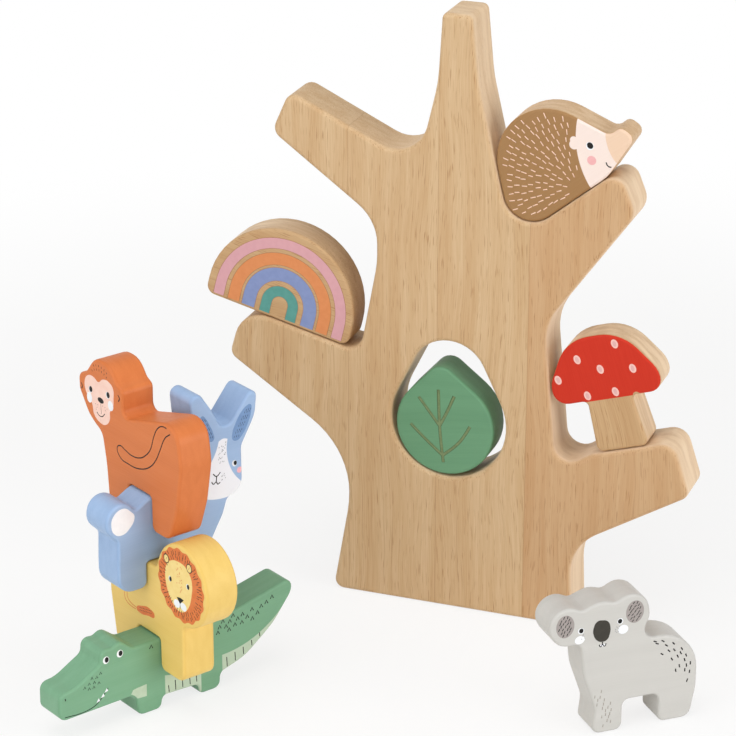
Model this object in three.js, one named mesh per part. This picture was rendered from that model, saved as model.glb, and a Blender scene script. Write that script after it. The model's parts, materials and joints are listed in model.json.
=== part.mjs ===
import * as THREE from 'three';

// A wooden balance toy: a forked tree board, four blocks that sit in its branches and window,
// four animals that straddle each other beside it, and one animal that stands alone.
// Millimetres, +Z up. The origin is the middle of the tree's foot and the tree faces -Y.
// Bearings are degrees, counter-clockwise from +X as seen from the front.

// Board stock, and how its edges are worked
const TREE_THICKNESS = 22;
const PIECE_THICKNESS = 15;
const TREE_EDGE_ROUND = 2;
const PIECE_EDGE_ROUND = 1.2;
const EDGE_FACETS = 2;

// How closely the facets follow the curves: the widest gap to an arc, the shortest side of an outline,
// the largest turn of one corner, and how much rounder an outer corner is than the edge that runs round it
const ARC_TOLERANCE = 0.06;
const SHORTEST_SIDE = 0.3;
const LARGEST_TURN = 75;
const CORNER_TO_EDGE = 1.25;

// Room between a piece and what carries it, and how far pieces stand behind the tree's front face
const SEAT_GAP = 0.3;
const FRONT_SETBACK = 1;

// Tree
const TREE_HEIGHT = 260;
const TREE_TOP_WIDTH = 12.8;
const TREE_TOP_ROUND = 2.6;
const FOOT_WIDTH = 107;
const FOOT_ROUND = 4;
const CROWN_LENGTH = 29;
const CROWN_RIGHT = 9.3;
const CROWN_LEFT = -8.1;
const CROWN_ROUND = 60;
const WAIST_X = -33.9;
const WAIST_Z = 151;
const WAIST_ROUND = 40;
const ANKLE_X = -46.4;
const ANKLE_Z = 41;
const ANKLE_ROUND = 60;

// Branches: the crotch is where the seat meets the trunk, the root is where the underside does.
// One crotch is hollowed to a pocket below its seat.
const MUSHROOM_BRANCH = {
  crotchX: 44.4,
  crotchZ: 75.2,
  crotchRound: 7,
  pocketDepth: 5.2,
  pocketReach: 15.9,
  pocketRimRound: 6,
  seatBearing: 17,
  seatLength: 52.4,
  tipDepth: 24.2,
  tipBearing: -72,
  tipRound: 7,
  chinRound: 4.5,
  rootX: 52,
  rootZ: 37,
  rootRound: 22,
};
const HEDGEHOG_BRANCH = {
  crotchX: 24.2,
  crotchZ: 167.6,
  crotchRound: 12,
  seatBearing: 39.2,
  seatLength: 56.5,
  tipDepth: 19.3,
  tipBearing: -68,
  tipRound: 6,
  chinRound: 8,
  rootX: 38.7,
  rootZ: 134,
  rootRound: 24,
};
const OPEN_BRANCH = {
  crotchX: -16.6,
  crotchZ: 195,
  crotchRound: 14.5,
  seatBearing: 154.8,
  seatLength: 61,
  tipDepth: 19.8,
  tipBearing: 246.4,
  tipRound: 5,
  chinRound: 5,
  rootX: -33.9,
  rootZ: 169.6,
  rootRound: 20,
};
const RAINBOW_BRANCH = {
  crotchX: -41.4,
  crotchZ: 110.6,
  crotchRound: 7,
  seatBearing: 166,
  seatLength: 54.2,
  tipDepth: 22.7,
  tipBearing: 254,
  tipRound: 13,
  chinRound: 4.5,
  rootX: -46.4,
  rootZ: 65.8,
  rootRound: 40,
};

// Leaf, and the window in the trunk that it rests in
const LEAF_RADIUS = 21.4;
const LEAF_TIP_REACH = 29.2;
const LEAF_TIP_ROUND = 6.5;
const LEAF_LEAN = 5;
const LEAF_REST_BEARING = 240;
const LEAF_ROOM = 3.6;
const WINDOW_X = -2.1;
const WINDOW_SILL = 60.2;
const WINDOW_HEADROOM = 10.3;
const WINDOW_TOP_RADIUS = 16.5;

// Rainbow
const RAINBOW_RADIUS = 33;
const RAINBOW_FOOT = 7.4;
const RAINBOW_CORNER_ROUND = 4;
const RAINBOW_TRUNK_GAP = 5.8;

// Mushroom
const STEM_FOOT_WIDTH = 22.6;
const STEM_NECK_WIDTH = 19.4;
const STEM_HEIGHT = 22.3;
const STEM_FOOT_ROUND = 3;
const STEM_NECK_ROUND = 2;
const CAP_WIDTH = 47.2;
const CAP_RIM_HEIGHT = 9.2;
const CAP_HEIGHT = 27.4;
const CAP_CROWN_WIDTH = 24;
const CAP_RIM_ROUND = 6.5;
const CAP_SHOULDER_ROUND = 12;
const CAP_CROWN_ROUND = 18;

// Hedgehog
const HOG_DOME_RADIUS = 22.9;
const HOG_DOME_HEIGHT = 17.2;
const HOG_BROW_BEARING = 30;
const HOG_CHIN_REACH = 50;
const HOG_CHIN_ROUND = 16;
const HOG_SNOUT_REACH = 69.6;
const HOG_SNOUT_ROUND = 3.2;
const HOG_BRIDGE_ROUND = 4.5;

// Notches by which an animal straddles the board below it
const NOTCH_WIDTH = PIECE_THICKNESS + 2 * SEAT_GAP;
const NOTCH_ROUND = PIECE_EDGE_ROUND + SEAT_GAP;
const PAW_ROUND = 3;

// Alligator
const ALLIGATOR_SADDLE = 31;
const ALLIGATOR_BELLY = 5.2;
const ALLIGATOR_SNOUT_REACH = 54.8;
const ALLIGATOR_TAIL_REACH = 58.2;

// Lion
const LION_NOTCH_HEIGHT = 13.6;
const LION_SADDLE = 44.2;
const LION_HEAD_RADIUS = 17;
const LION_HEAD_REACH = 23.9;
const LION_HEAD_HEIGHT = 43;
const LION_FOOT_REACH = 24;

// Bunny
const BUNNY_NOTCH_HEIGHT = 10.9;
const BUNNY_SADDLE = 38.2;
const BUNNY_TAIL_RADIUS = 6.8;
const BUNNY_SHIFT = 6.5;

// Monkey
const MONKEY_NOTCH_HEIGHT = 14.6;
const MONKEY_SHIFT = 2;

// Koala
const KOALA_NOTCH_HEIGHT = 12.8;
const KOALA_NOTCH_ROUND = 3;
const KOALA_BACK = 38.3;
const KOALA_EAR_RADIUS = 7.6;

// Where the stack and the koala stand on the floor, and how they are turned
const STACK_X = -80.9;
const STACK_Y = -125.2;
const STACK_YAW = 58.5;
const KOALA_X = 98.8;
const KOALA_Y = -76.7;
const KOALA_YAW = 41.3;

const rad = THREE.MathUtils.degToRad;
const deg = THREE.MathUtils.radToDeg;

// The point at a distance and bearing from another one
function polar([x, z], length, bearing) {
  return [x + length * Math.cos(rad(bearing)), z + length * Math.sin(rad(bearing))];
}

// The bearing of one point from another
function bearingOf([fromX, fromZ], [toX, toZ]) {
  return deg(Math.atan2(toZ - fromZ, toX - fromX));
}

// Corners round a circle: filleted at its radius, they follow it from one bearing to another
function arcCorners(centre, radius, from, to) {
  const count = Math.ceil((to - from) / LARGEST_TURN);
  const half = (to - from) / count / 2;
  return Array.from({ length: count }, (_, i) => [
    ...polar(centre, radius / Math.cos(rad(half)), from + half * (2 * i + 1)),
    radius,
  ]);
}

// Rounds each [x, z, radius] corner, listed counter-clockwise, with an arc that touches both its sides.
// A pair of arcs too long for the side between them shares that side.
function roundedOutline(corners, edgeRound) {
  const count = corners.length;
  const at = corners.map(([x, z]) => new THREE.Vector2(x, z));
  const bends = at.map((corner, i) => {
    const before = at[(i + count - 1) % count].clone().sub(corner).normalize();
    const after = at[(i + 1) % count].clone().sub(corner).normalize();
    const outside = after.cross(before) > 0;
    const half = Math.acos(THREE.MathUtils.clamp(before.dot(after), -1, 1)) / 2;
    const radius = outside ? Math.max(corners[i][2], edgeRound * CORNER_TO_EDGE) : corners[i][2];
    return { before, after, half, reach: radius / Math.tan(half) };
  });
  const share = at.map((corner, i) => {
    const next = (i + 1) % count;
    return Math.min(1, corner.distanceTo(at[next]) / (bends[i].reach + bends[next].reach));
  });
  const points = at.flatMap((corner, i) => {
    const { before, after, half, reach } = bends[i];
    const run = reach * Math.min(share[i], share[(i + count - 1) % count]);
    const start = corner.clone().addScaledVector(before, run);
    const middle = before.clone().add(after).normalize().multiplyScalar(run / Math.cos(half)).add(corner);
    const turn = Math.PI - 2 * half;
    const side = Math.sign(after.cross(before));
    const radius = run * Math.tan(half);
    const step = 2 * Math.acos(1 - Math.min(1, ARC_TOLERANCE / radius));
    const steps = Math.max(1, Math.ceil(turn / step));
    return Array.from({ length: steps + 1 }, (_, k) =>
      start.clone().rotateAround(middle, (side * turn * k) / steps),
    );
  });
  return points.filter((point, i) => point.distanceTo(points[(i + 1) % points.length]) > SHORTEST_SIDE);
}

// Cuts an outline from a board and rounds over the edges of both faces. The board faces -Y, centred on y = 0.
function cutBoard(corners, thickness, edgeRound, window) {
  const shape = new THREE.Shape(roundedOutline(corners, edgeRound));
  if (window) shape.holes.push(new THREE.Path(roundedOutline(window, edgeRound)));
  const board = new THREE.ExtrudeGeometry(shape, {
    depth: thickness - 2 * edgeRound,
    bevelThickness: edgeRound,
    bevelSize: edgeRound,
    bevelOffset: -edgeRound,
    bevelSegments: EDGE_FACETS,
    steps: 1,
  });
  board.translate(0, 0, edgeRound - thickness / 2);
  return board.rotateX(Math.PI / 2);
}

function makeNode(name, geometry, color, roughness) {
  const material = new THREE.MeshStandardMaterial({ color, roughness, metalness: 0 });
  const node = new THREE.Mesh(geometry, material);
  node.name = name;
  return node;
}

// A loose piece, cut from the thinner board
function makePiece(name, corners, color, roughness) {
  return makeNode(name, cutBoard(corners, PIECE_THICKNESS, PIECE_EDGE_ROUND), color, roughness);
}

const toy = new THREE.Group();
toy.name = 'stacking_balance_toy';

// Tree: the branches are read off counter-clockwise from the foot, up the right side and down the left
function branchCorners(branch) {
  const tip = polar([branch.crotchX, branch.crotchZ], branch.seatLength, branch.seatBearing);
  const chin = polar(tip, branch.tipDepth, branch.tipBearing);
  return [
    [branch.crotchX, branch.crotchZ, branch.crotchRound],
    [...tip, branch.tipRound],
    [...chin, branch.chinRound],
    [branch.rootX, branch.rootZ, branch.rootRound],
  ];
}

// Mushroom branch: the pocket goes on down the line of the trunk, and its rim is where the seat starts
const mushroomCrotch = [MUSHROOM_BRANCH.crotchX, MUSHROOM_BRANCH.crotchZ];
const mushroomTrunk = bearingOf(mushroomCrotch, [HEDGEHOG_BRANCH.rootX, HEDGEHOG_BRANCH.rootZ]);
const [, ...mushroomBranchEnd] = branchCorners(MUSHROOM_BRANCH);
const mushroomBranchCorners = [
  [...polar(mushroomCrotch, -MUSHROOM_BRANCH.pocketDepth, mushroomTrunk), MUSHROOM_BRANCH.crotchRound],
  [
    ...polar(mushroomCrotch, MUSHROOM_BRANCH.pocketReach, MUSHROOM_BRANCH.seatBearing),
    MUSHROOM_BRANCH.pocketRimRound,
  ],
  ...mushroomBranchEnd,
];

const crownFoot = TREE_HEIGHT - CROWN_LENGTH;
const treeCorners = [
  [-FOOT_WIDTH / 2, 0, FOOT_ROUND],
  [FOOT_WIDTH / 2, 0, FOOT_ROUND],
  ...mushroomBranchCorners.reverse(),
  ...branchCorners(HEDGEHOG_BRANCH).reverse(),
  [CROWN_RIGHT, crownFoot, CROWN_ROUND],
  [TREE_TOP_WIDTH / 2, TREE_HEIGHT, TREE_TOP_ROUND],
  [-TREE_TOP_WIDTH / 2, TREE_HEIGHT, TREE_TOP_ROUND],
  [CROWN_LEFT, crownFoot, CROWN_ROUND],
  ...branchCorners(OPEN_BRANCH),
  [WAIST_X, WAIST_Z, WAIST_ROUND],
  ...branchCorners(RAINBOW_BRANCH),
  [ANKLE_X, ANKLE_Z, ANKLE_ROUND],
];

// Window: an egg of two arcs and their shared tangents, roomy enough for the leaf
const windowRadius = LEAF_RADIUS + LEAF_ROOM;
const windowLow = [WINDOW_X, WINDOW_SILL + windowRadius];
const windowTop = WINDOW_SILL + LEAF_RADIUS + LEAF_TIP_REACH + WINDOW_HEADROOM;
const windowHigh = [WINDOW_X, windowTop - WINDOW_TOP_RADIUS];
const windowFlank = deg(Math.asin((windowRadius - WINDOW_TOP_RADIUS) / (windowHigh[1] - windowLow[1])));
const windowCorners = [
  ...arcCorners(windowHigh, WINDOW_TOP_RADIUS, windowFlank, 180 - windowFlank),
  ...arcCorners(windowLow, windowRadius, 180 - windowFlank, 360 + windowFlank),
];
const treeBoard = cutBoard(treeCorners, TREE_THICKNESS, TREE_EDGE_ROUND, windowCorners);
toy.add(makeNode('tree', treeBoard, 0xd3b184, 0.62));

// Pieces in the tree stand on a seat point, turned to the seat
const frontRow = -TREE_THICKNESS / 2 + FRONT_SETBACK + PIECE_THICKNESS / 2;

function seatInTree(piece, [x, z], tilt) {
  piece.position.set(x, frontRow, z);
  piece.rotation.y = -rad(tilt);
  toy.add(piece);
}

// Leaf: a disc drawn out to a point by its tangents
const leafFlank = deg(Math.asin(LEAF_RADIUS / LEAF_TIP_REACH));
const leafCorners = [
  [0, LEAF_TIP_REACH, LEAF_TIP_ROUND],
  ...arcCorners([0, 0], LEAF_RADIUS, 180 - leafFlank, 360 + leafFlank),
];
seatInTree(
  makePiece('leaf', leafCorners, 0x5f987a, 0.6),
  polar(windowLow, LEAF_ROOM - SEAT_GAP, LEAF_REST_BEARING),
  LEAF_LEAN,
);

// Rainbow: a half disc on a short straight foot
const rainbowCorners = [
  [-RAINBOW_RADIUS, 0, RAINBOW_CORNER_ROUND],
  [RAINBOW_RADIUS, 0, RAINBOW_CORNER_ROUND],
  ...arcCorners([0, RAINBOW_FOOT], RAINBOW_RADIUS, 0, 180),
];
const rainbowCrotch = [RAINBOW_BRANCH.crotchX, RAINBOW_BRANCH.crotchZ];
const rainbowAlong = polar(rainbowCrotch, RAINBOW_TRUNK_GAP + RAINBOW_RADIUS, RAINBOW_BRANCH.seatBearing);
seatInTree(
  makePiece('rainbow', rainbowCorners, 0xe0c096, 0.6),
  polar(rainbowAlong, SEAT_GAP, RAINBOW_BRANCH.seatBearing - 90),
  RAINBOW_BRANCH.seatBearing - 180,
);

// Mushroom: stands clear of the trunk at the shoulder of its cap
const mushroomHalf = [
  [STEM_FOOT_WIDTH / 2, 0, STEM_FOOT_ROUND],
  [STEM_NECK_WIDTH / 2, STEM_HEIGHT, STEM_NECK_ROUND],
  [CAP_WIDTH / 2, STEM_HEIGHT, CAP_RIM_ROUND],
  [CAP_WIDTH / 2, STEM_HEIGHT + CAP_RIM_HEIGHT, CAP_SHOULDER_ROUND],
  [CAP_CROWN_WIDTH / 2, STEM_HEIGHT + CAP_HEIGHT, CAP_CROWN_ROUND],
];
const mushroomCorners = [
  ...mushroomHalf,
  ...mushroomHalf.map(([u, w, radius]) => [-u, w, radius]).reverse(),
];
const mushroomLean = rad(mushroomTrunk - MUSHROOM_BRANCH.seatBearing);
const shoulderClear = (STEM_HEIGHT + CAP_RIM_HEIGHT) / Math.tan(mushroomLean) + SEAT_GAP;
const mushroomAlong = polar(mushroomCrotch, shoulderClear + CAP_WIDTH / 2, MUSHROOM_BRANCH.seatBearing);
seatInTree(
  makePiece('mushroom', mushroomCorners, 0xd84a35, 0.55),
  polar(mushroomAlong, SEAT_GAP, MUSHROOM_BRANCH.seatBearing + 90),
  MUSHROOM_BRANCH.seatBearing,
);

// Hedgehog: its belly lies along the seat, its back along the trunk, and its tail end follows the crotch
const hogCrotch = [HEDGEHOG_BRANCH.crotchX, HEDGEHOG_BRANCH.crotchZ];
const hogTrunk = bearingOf(hogCrotch, [CROWN_RIGHT, crownFoot]);
const hogLean = hogTrunk - HEDGEHOG_BRANCH.seatBearing;
const hogRear = polar([0, 0], SEAT_GAP / Math.sin(rad(hogLean / 2)), hogLean / 2);
const hogDomeRun = (HOG_DOME_RADIUS + SEAT_GAP) / Math.sin(rad(hogLean));
const hogDome = [hogDomeRun + HOG_DOME_HEIGHT / Math.tan(rad(hogLean)), HOG_DOME_HEIGHT];
const hogCorners = [
  [...hogRear, HEDGEHOG_BRANCH.crotchRound - SEAT_GAP],
  [HOG_CHIN_REACH, SEAT_GAP, HOG_CHIN_ROUND],
  [HOG_SNOUT_REACH, 6.9, HOG_SNOUT_ROUND],
  [HOG_SNOUT_REACH - 2.4, 14.3, HOG_SNOUT_ROUND],
  [HOG_SNOUT_REACH - 8, 13.2, HOG_BRIDGE_ROUND],
  ...arcCorners(hogDome, HOG_DOME_RADIUS, HOG_BROW_BEARING, 90 + hogLean),
];
seatInTree(
  makePiece('hedgehog', hogCorners, 0xad8458, 0.6),
  hogCrotch,
  HEDGEHOG_BRANCH.seatBearing,
);

// Stack: each animal straddles the back of the one below, turned a quarter turn to it
const stack = new THREE.Group();
stack.name = 'stack';
stack.position.set(STACK_X, STACK_Y, 0);
stack.rotation.z = rad(STACK_YAW);
toy.add(stack);

function placeInStack(piece, along, across, floor, quarterTurn) {
  piece.position.set(along, across, floor);
  piece.rotation.z = quarterTurn ? -Math.PI / 2 : 0;
  stack.add(piece);
}

// The notch between two feet, from its left foot to its right one
function notchCorners(height, round = NOTCH_ROUND) {
  return [
    [-NOTCH_WIDTH / 2, 0, PAW_ROUND],
    [-NOTCH_WIDTH / 2, height, round],
    [NOTCH_WIDTH / 2, height, round],
    [NOTCH_WIDTH / 2, 0, PAW_ROUND],
  ];
}

// Alligator: four short feet seen as two, a flat back for a saddle, and a tail that curves up
const alligatorCorners = [
  [-ALLIGATOR_SNOUT_REACH, 9.3, 3.5],
  [-19, 9.8, 4],
  [-18.2, 0, 3],
  [-7.4, 0, 2.6],
  [-6.2, ALLIGATOR_BELLY, 2],
  [10.6, ALLIGATOR_BELLY - 0.6, 2],
  [11.2, 0, 2.6],
  [21.4, 0, 3.2],
  [21.8, 6.4, 2.5],
  [34, 9.8, 24],
  [48.4, 20.4, 25],
  [ALLIGATOR_TAIL_REACH - 0.6, 32, 7],
  [ALLIGATOR_TAIL_REACH, 38.4, 3.2],
  [23, ALLIGATOR_SADDLE, 40],
  [-19.6, ALLIGATOR_SADDLE, 4],
  [-26, 36, 3.2],
  [-30, 33.8, 3],
  [-35, 35.2, 3.2],
  [-35.6, 28.4, 3],
  [-48, 21.6, 12],
  [-ALLIGATOR_SNOUT_REACH + 0.2, 21.4, 3.5],
];
placeInStack(
  makePiece('alligator', alligatorCorners, 0x6b9f7d, 0.55),
  0,
  0,
  0,
  false,
);

// Lion: a round head beside the saddle, above its outer foot
const lionFloor = ALLIGATOR_SADDLE + SEAT_GAP - LION_NOTCH_HEIGHT;
const lionHead = [LION_HEAD_REACH, LION_HEAD_HEIGHT];
const lionCorners = [
  [-LION_FOOT_REACH + 0.4, 0, 4.5],
  ...notchCorners(LION_NOTCH_HEIGHT),
  [LION_FOOT_REACH, 0, 4.5],
  [LION_FOOT_REACH, 25.2, 3],
  ...arcCorners(lionHead, LION_HEAD_RADIUS, -80, 160),
  [LION_HEAD_REACH - LION_HEAD_RADIUS - 0.7, LION_SADDLE, 3],
  [-27.6, LION_SADDLE, 14],
  [-27.2, 22, 14],
];
placeInStack(
  makePiece('lion', lionCorners, 0xebc565, 0.55),
  0,
  0,
  lionFloor,
  true,
);

// Bunny: a round tail, a level back, and two long ears
const bunnyFloor = lionFloor + LION_SADDLE + SEAT_GAP - BUNNY_NOTCH_HEIGHT;
const bunnyCorners = [
  [-21.3, 0, 7],
  ...notchCorners(BUNNY_NOTCH_HEIGHT),
  [20.4, 0, 6],
  [23.4, 11.4, 12],
  [29.2, 21.2, 8],
  [31.4, 27.6, 2.5],
  [38.8, 29.4, 6.5],
  [38.6, 48.2, 5],
  [45.6, 60, 14],
  [47, 75, 3],
  [41.8, 69.4, 4],
  [30.4, 55.6, 4],
  [25, 66.4, 12],
  [19, 75.6, 3],
  [14.2, 73.8, 3],
  [15.6, 58, 12],
  [13.4, BUNNY_SADDLE, 3],
  [-5.6, BUNNY_SADDLE, 6],
  [-12.6, 34.4, 2],
  ...arcCorners([-19.2, 32.2], BUNNY_TAIL_RADIUS, 40, 235),
  [-20.9, 23.2, 3],
  [-21.3, 12, 20],
];
placeInStack(
  makePiece('bunny', bunnyCorners, 0x86a6d2, 0.55),
  0,
  BUNNY_SHIFT,
  bunnyFloor,
  false,
);

// Monkey: a head with two small ears to one side, and a rounded rump
const monkeyFloor = bunnyFloor + BUNNY_SADDLE + SEAT_GAP - MONKEY_NOTCH_HEIGHT;
const monkeyCorners = [
  [-22.2, 0, 4.5],
  ...notchCorners(MONKEY_NOTCH_HEIGHT),
  [19.8, 0, 5.5],
  [25.6, 15.5, 25],
  [29, 33.4, 14],
  [27, 46.6, 8],
  [20, 50, 10],
  [-7.2, 42.2, 4],
  [-10.4, 43.4, 3],
  [-10.2, 53, 3],
  [-14.2, 54.6, 4],
  [-19, 61, 9],
  [-29.6, 61.2, 9],
  [-36, 53.4, 4],
  [-41.6, 50.8, 3.2],
  [-41.4, 44.4, 3.2],
  [-35.2, 35.4, 9],
  [-30.6, 32.4, 5],
  [-26, 30.2, 5],
  [-23.6, 18, 30],
];
placeInStack(
  makePiece('monkey', monkeyCorners, 0xcc733d, 0.55),
  MONKEY_SHIFT,
  BUNNY_SHIFT,
  monkeyFloor,
  true,
);

// Koala: stands on the floor by itself, with the same notch under it
const koalaCorners = [
  [-20.9, 0, 3.2],
  ...notchCorners(KOALA_NOTCH_HEIGHT, KOALA_NOTCH_ROUND),
  [21.6, 0, 4],
  [24.2, 13, 25],
  [24.1, KOALA_BACK, 17],
  [-1, KOALA_BACK, 4],
  ...arcCorners([-5.2, 50.8], KOALA_EAR_RADIUS, -45, 125),
  [-12.2, 56, 4],
  [-18.2, 58.2, 10],
  [-26.4, 54.8, 4],
  ...arcCorners([-32.4, 49.4], KOALA_EAR_RADIUS, 60, 285),
  [-26.4, 40.6, 3],
  [-25.2, 27, 20],
  [-19.6, 11, 9],
];
const koala = makePiece('koala', koalaCorners, 0xc8c6c1, 0.55);
koala.position.set(KOALA_X, KOALA_Y, 0);
koala.rotation.z = rad(KOALA_YAW);
toy.add(koala);

export default toy;
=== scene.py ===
# %% [markdown]
# A wooden balance toy: a forked tree, four blocks in its branches, a stack of four animals and one koala.
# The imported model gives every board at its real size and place. This lesson gives the boards smooth edges,
# wood, stain and printed faces, and never moves them. Everything is in metres, with +Z up.

# %% Load the frame
import json
import math
import random

import bmesh
import bpy
from mathutils import Matrix, Vector

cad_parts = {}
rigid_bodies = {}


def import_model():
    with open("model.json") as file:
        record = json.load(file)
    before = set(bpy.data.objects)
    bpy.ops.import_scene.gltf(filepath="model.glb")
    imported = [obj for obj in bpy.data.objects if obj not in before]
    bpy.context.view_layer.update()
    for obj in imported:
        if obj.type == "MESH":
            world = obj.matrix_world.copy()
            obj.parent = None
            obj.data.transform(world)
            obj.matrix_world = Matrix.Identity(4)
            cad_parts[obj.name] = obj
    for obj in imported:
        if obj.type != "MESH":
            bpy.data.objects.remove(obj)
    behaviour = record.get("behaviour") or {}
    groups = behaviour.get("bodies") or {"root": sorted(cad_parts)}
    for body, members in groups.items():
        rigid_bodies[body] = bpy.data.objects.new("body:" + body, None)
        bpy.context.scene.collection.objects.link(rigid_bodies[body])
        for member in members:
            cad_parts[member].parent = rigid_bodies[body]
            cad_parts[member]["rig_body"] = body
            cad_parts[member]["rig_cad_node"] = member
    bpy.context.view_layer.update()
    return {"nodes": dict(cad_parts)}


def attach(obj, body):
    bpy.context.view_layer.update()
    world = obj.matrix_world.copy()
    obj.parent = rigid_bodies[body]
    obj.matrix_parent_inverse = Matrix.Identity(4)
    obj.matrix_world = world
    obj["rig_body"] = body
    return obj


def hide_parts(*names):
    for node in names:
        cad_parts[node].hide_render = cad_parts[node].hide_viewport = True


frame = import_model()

MM = 0.001
print("boards in the frame:", ", ".join(sorted(frame["nodes"])))

# %% [markdown]
# The camera comes first, so that each later step can be judged in the same picture. A long lens from well
# back keeps the boards' sides nearly parallel. The place was found by matching the tree's foot, top and
# branch tips.

# %% Camera
CAMERA_PLACE = Vector((367.8, -1092.7, 579.2)) * MM
CAMERA_AZIMUTH = 20.53
CAMERA_ELEVATION = 22.34
CAMERA_LENS = 146.7

bpy.ops.object.camera_add(
    location=CAMERA_PLACE,
    rotation=(math.radians(90 - CAMERA_ELEVATION), 0, math.radians(CAMERA_AZIMUTH)),
)
camera = bpy.context.object
camera.data.lens = CAMERA_LENS
bpy.context.scene.camera = camera
bpy.context.scene.view_settings.view_transform = "Standard"
print(f"camera {CAMERA_PLACE.length:.2f} m away, {camera.data.lens:.0f} mm lens")

# %% [markdown]
# A material is a small program made of nodes. A Wire is one socket in it, and Python's own operators on it
# add Math nodes, so a mask can be written as a sum. A Graph adds any other node: the settings first, then
# what goes into its sockets. A Finish is the graph of one material.


# %% Writing materials as expressions
class Wire:
    """An output socket in a graph. Sums with numbers or other wires add Math nodes."""

    def __init__(self, graph, socket):
        self.graph = graph
        self.socket = socket

    def beside(self, output):
        """Another output of the same node."""
        return Wire(self.graph, self.socket.node.outputs[output])

    def math(self, operation, *values):
        return self.graph.node("Math", {"operation": operation}, dict(enumerate(values)))

    def __add__(self, other):
        return self.math("ADD", self, other)

    __radd__ = __add__

    def __sub__(self, other):
        return self.math("SUBTRACT", self, other)

    def __rsub__(self, other):
        return self.math("SUBTRACT", other, self)

    def __mul__(self, other):
        return self.math("MULTIPLY", self, other)

    def __abs__(self):
        return self.math("ABSOLUTE", self)

    def root(self):
        return self.math("SQRT", self)

    def rise(self, low, high):
        """0 below low, 1 above high and smooth between them."""
        sockets = {"Value": self, "From Min": low, "From Max": high}
        return self.graph.node("MapRange", {"interpolation_type": "SMOOTHSTEP"}, sockets)

    def past(self, mark, blur):
        """0 before a mark and 1 past it, with a blur on both sides of it."""
        return self.rise(mark - blur, mark + blur)


class Graph:
    """A node tree and the ways to add to it."""

    def __init__(self, tree):
        self.nodes = tree.nodes
        self.links = tree.links

    def node(self, kind, settings, sockets, output=0):
        made = self.nodes.new("ShaderNode" + kind)
        for name, value in settings.items():
            setattr(made, name, value)
        for name, value in sockets.items():
            self.feed(made.inputs[name], value)
        return Wire(self, made.outputs[output])

    def feed(self, socket, value):
        if isinstance(value, Wire):
            self.links.new(value.socket, socket)
        else:
            socket.default_value = value


class Finish(Graph):
    """One material, its Principled shader and the nodes that feed it."""

    def __init__(self, name, **constants):
        self.material = bpy.data.materials.new(name)
        self.material.use_nodes = True
        super().__init__(self.material.node_tree)
        self.shader = self.nodes["Principled BSDF"]
        self.set(**constants)

    def set(self, **sockets):
        for name, value in sockets.items():
            title = name.replace("_", " ").title().replace("Ior", "IOR")
            self.feed(self.shader.inputs[title], value)

    def mix(self, share, first, second):
        return self.node("Mix", {"data_type": "RGBA"}, {0: share, 6: first, 7: second}, output=2)

    def tones(self, share, pair):
        """A mix of two colours, each written as six hexadecimal digits."""
        return self.mix(share, paint(pair[0]), paint(pair[1]))

    def on(self, plane):
        """Millimetres across, up and out of a face, from the piece's Object coordinates."""
        place = self.node("TexCoord", {}, {}, output="Object")
        sockets = {
            "Vector": place,
            "Location": plane.to_translation(),
            "Rotation": plane.to_euler(),
            "Scale": (MM, MM, MM),
        }
        local = self.node("Mapping", {"vector_type": "TEXTURE"}, sockets)
        split = self.node("SeparateXYZ", {}, {0: local})
        return [split.beside(axis) for axis in range(3)]

    def noise(self, x, y, z, detail=2.0):
        place = self.node("CombineXYZ", {}, {0: x, 1: y, 2: z})
        return self.node("TexNoise", {}, {"Vector": place, "Scale": 1.0, "Detail": detail})

    def bump(self, height, depth):
        """Feeds the Normal with a relief that is depth millimetres deep."""
        sockets = {"Strength": 1.0, "Distance": depth * MM, "Height": height}
        self.set(normal=self.node("Bump", {}, sockets))


def paint(code):
    """A colour written as six hexadecimal digits, in the linear values that shaders use."""
    parts = [int(code[i : i + 2], 16) / 255 for i in (0, 2, 4)]
    linear = [p / 12.92 if p <= 0.04045 else ((p + 0.055) / 1.055) ** 2.4 for p in parts]
    return (*linear, 1.0)


print("finish writer ready")

# %% [markdown]
# The stage is a pale floor under soft light. The floor turns into plain white for the eye, but only partly
# near the toy, so that it still takes the toy's shadow. A lamp from the right gives the cut edges their
# pale side, one from the left lights the faces that look that way, a small one in front evens them out,
# and one overhead makes the shade under each board. The world only fills in what they leave dark.

# %% Stage and light
FLOOR_RADIUS = 3.0
FLOOR_CORNERS = 128
FLOOR_TONES = ("F6F5F3", "F1F0EE")
FLOOR_CLOUD = 0.02
FLOOR_WHITE_NEAR = 0.78
FLOOR_FADE = (260, 620)
WHITE = (1, 1, 1, 1)
WORLD_FILL = 0.25
LAMP_AIM = Vector((0, -40, 110)) * MM
LAMPS = {
    "key_right": ((1500, -300, 450), 12, 1.0),
    "fill_left": ((-700, -1350, 650), 9.5, 1.2),
    "front": ((420, -1400, 380), 3, 0.8),
    "overhead": ((-100, -350, 1500), 11, 1.2),
}


def seen_directly(graph):
    """1 for what the eye sees straight, in a reflection or through glass, and 0 for light on the toy."""
    path = graph.node("LightPath", {}, {}, output="Is Camera Ray")
    total = path + path.beside("Is Glossy Ray") + path.beside("Is Transmission Ray")
    return total.rise(0, 1)


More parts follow.
